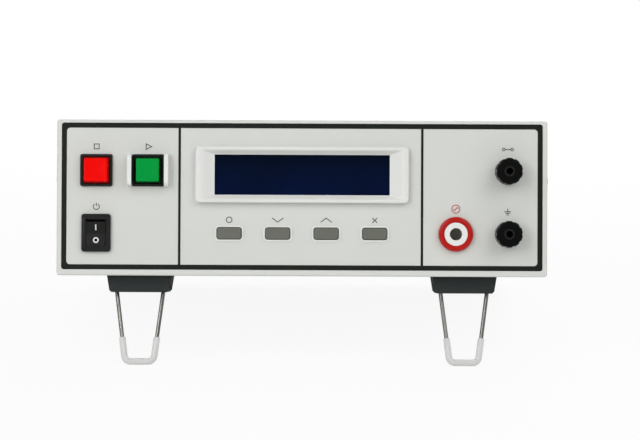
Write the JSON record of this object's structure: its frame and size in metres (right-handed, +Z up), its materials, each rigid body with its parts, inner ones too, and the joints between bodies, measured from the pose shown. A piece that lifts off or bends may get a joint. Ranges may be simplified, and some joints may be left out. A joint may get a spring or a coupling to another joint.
{
  "type": "hipot tester",
  "caption": "Low bench withstand-voltage tester with framed front panel, display, push buttons, keys, rocker switch, test terminals and folding wire tilt legs.",
  "frame": {"origin": "middle of the object's box at bench height, standing tipped back on its open tilt legs", "axes": "+X to the right seen from the front, +Y from the front panel to the rear, +Z up"},
  "size_m": [0.2822, 0.3238, 0.141],
  "materials": {
    "cover_paint": "fine satin powder coat",
    "plated_sheet": "satin paint on steel sheet",
    "frame_plastic": "fine moulded grain",
    "panel_metal": "brushed",
    "printed_film": "fine matte grain",
    "border_print": "matte print",
    "steel_fasteners": "bright plated",
    "foot_plastic": "moulded grain",
    "leg_wire": "bright plated wire",
    "leg_sleeve": "soft translucent",
    "surround_plastic": "satin moulding",
    "display_glass": "tinted gloss",
    "display_can": "plated sheet",
    "circuit_board": "solder mask",
    "brass_spacers": "turned",
    "switch_black": "satin moulding",
    "red_cap": "gloss",
    "green_cap": "gloss",
    "spring_steel": "drawn wire",
    "guard_white": "satin",
    "key_grey": "satin",
    "ring_red": "semi-gloss",
    "insulator_white": "satin",
    "post_black": "satin",
    "plated_brass": "nickel plated",
    "core_steel": "varnished laminations",
    "winding": "varnished copper",
    "lead_jacket": "silicone",
    "sink_aluminium": "extruded",
    "fan_black": "moulded",
    "inlet_black": "moulded",
    "selector_red": "moulded",
    "connector_shell": "tinned"
  },
  "bodies": {
    "case": {"top_cover": "cover_paint", "bottom_tray": "plated_sheet", "rear_panel": "plated_sheet", "front_frame": "frame_plastic", "front_panel": "panel_metal", "panel_film": "printed_film", "panel_border": "border_print", "case_screws": "steel_fasteners", "foot_screws": "steel_fasteners", "front_foot_left": "foot_plastic", "front_foot_right": "foot_plastic", "rear_feet": "foot_plastic", "display_surround": "surround_plastic", "display_pane": "display_glass", "display_can": "display_can", "display_board": "circuit_board", "board_spacers": "brass_spacers", "reset_housing": "switch_black", "reset_spring": "spring_steel", "test_housing": "switch_black", "test_spring": "spring_steel", "test_guard": "guard_white", "power_switch_body": "switch_black", "keypad_board": "circuit_board", "hv_ring": "ring_red", "hv_insulator": "insulator_white", "hv_contact": "brass_spacers", "post_bases": "post_black", "post_studs": "plated_brass", "terminal_nuts": "steel_fasteners", "control_board": "circuit_board", "hv_core": "core_steel", "hv_winding": "winding", "hv_lead": "lead_jacket", "supply_core": "core_steel", "supply_winding": "winding", "heat_sink": "sink_aluminium", "fan_frame": "fan_black", "mains_inlet": "inlet_black", "inlet_pins": "plated_brass", "fuse_holder": "inlet_black", "selector_body": "inlet_black", "remote_connectors": "connector_shell", "earth_terminal": "plated_brass"},
    "reset_cap": {"reset_button": "red_cap"},
    "test_cap": {"test_button": "green_cap"},
    "rocker": {"power_rocker": "switch_black"},
    "key_one": {"key_1": "key_grey"},
    "key_two": {"key_2": "key_grey"},
    "key_three": {"key_3": "key_grey"},
    "key_four": {"key_4": "key_grey"},
    "left_leg": {"tilt_leg_left": "leg_wire", "leg_sleeve_left": "leg_sleeve"},
    "right_leg": {"tilt_leg_right": "leg_wire", "leg_sleeve_right": "leg_sleeve"},
    "return_cap": {"return_post_cap": "post_black"},
    "check_cap": {"check_post_cap": "post_black"},
    "fan": {"fan_rotor": "fan_black"},
    "fuse": {"fuse_cap": "inlet_black"},
    "selector": {"selector_knob": "selector_red"}
  },
  "joints": [
    {"name": "reset_press", "type": "slide", "parent": "case", "child": "reset_cap", "axis": [0, 0.9882, -0.1529], "range_m": [0, 0.003], "stiffness_N_per_m": 800, "springref_m": -0.001, "deforming": ["reset_spring"]},
    {"name": "test_press", "type": "slide", "parent": "case", "child": "test_cap", "axis": [0, 0.9882, -0.1529], "range_m": [0, 0.003], "stiffness_N_per_m": 800, "springref_m": -0.001, "deforming": ["test_spring"]},
    {"name": "key_one_press", "type": "slide", "parent": "case", "child": "key_one", "axis": [0, 0.9882, -0.1529], "range_m": [0, 0.0008], "stiffness_N_per_m": 600, "springref_m": -0.0005},
    {"name": "key_two_press", "type": "slide", "parent": "case", "child": "key_two", "axis": [0, 0.9882, -0.1529], "range_m": [0, 0.0008], "stiffness_N_per_m": 600, "springref_m": -0.0005},
    {"name": "key_three_press", "type": "slide", "parent": "case", "child": "key_three", "axis": [0, 0.9882, -0.1529], "range_m": [0, 0.0008], "stiffness_N_per_m": 600, "springref_m": -0.0005},
    {"name": "key_four_press", "type": "slide", "parent": "case", "child": "key_four", "axis": [0, 0.9882, -0.1529], "range_m": [0, 0.0008], "stiffness_N_per_m": 600, "springref_m": -0.0005},
    {"name": "power_rock", "type": "hinge", "parent": "case", "child": "rocker", "pos_m": [-0.1174, -0.14422, 0.07683], "axis": [-1, 0, 0], "range_deg": [0, 14]},
    {"name": "left_leg_fold", "type": "hinge", "parent": "case", "child": "left_leg", "pos_m": [-0.0935, -0.13147, 0.04541], "axis": [1, 0, 0], "range_deg": [0, 96]},
    {"name": "right_leg_fold", "type": "hinge", "parent": "case", "child": "right_leg", "pos_m": [0.0935, -0.13147, 0.04541], "axis": [1, 0, 0], "range_deg": [0, 96]},
    {"name": "return_cap_turn", "type": "hinge", "parent": "case", "child": "return_cap", "pos_m": [0.1174, -0.15351, 0.07826], "axis": [0, -0.9882, 0.1529], "range_deg": [0, 360]},
    {"name": "check_cap_turn", "type": "hinge", "parent": "case", "child": "check_cap", "pos_m": [0.1174, -0.14805, 0.11354], "axis": [0, -0.9882, 0.1529], "range_deg": [0, 360]},
    {"name": "fan_spin", "type": "hinge", "parent": "case", "child": "fan", "pos_m": [0.09, 0.13693, 0.05357], "axis": [0, 0.9882, -0.1529], "continuous": true},
    {"name": "fuse_turn", "type": "hinge", "parent": "case", "child": "fuse", "pos_m": [-0.058, 0.15202, 0.05296], "axis": [0, 0.9882, -0.1529], "range_deg": [0, 90]},
    {"name": "selector_slide", "type": "slide", "parent": "case", "child": "selector", "axis": [1, 0, 0], "range_m": [0, 0.006]}
  ]
}
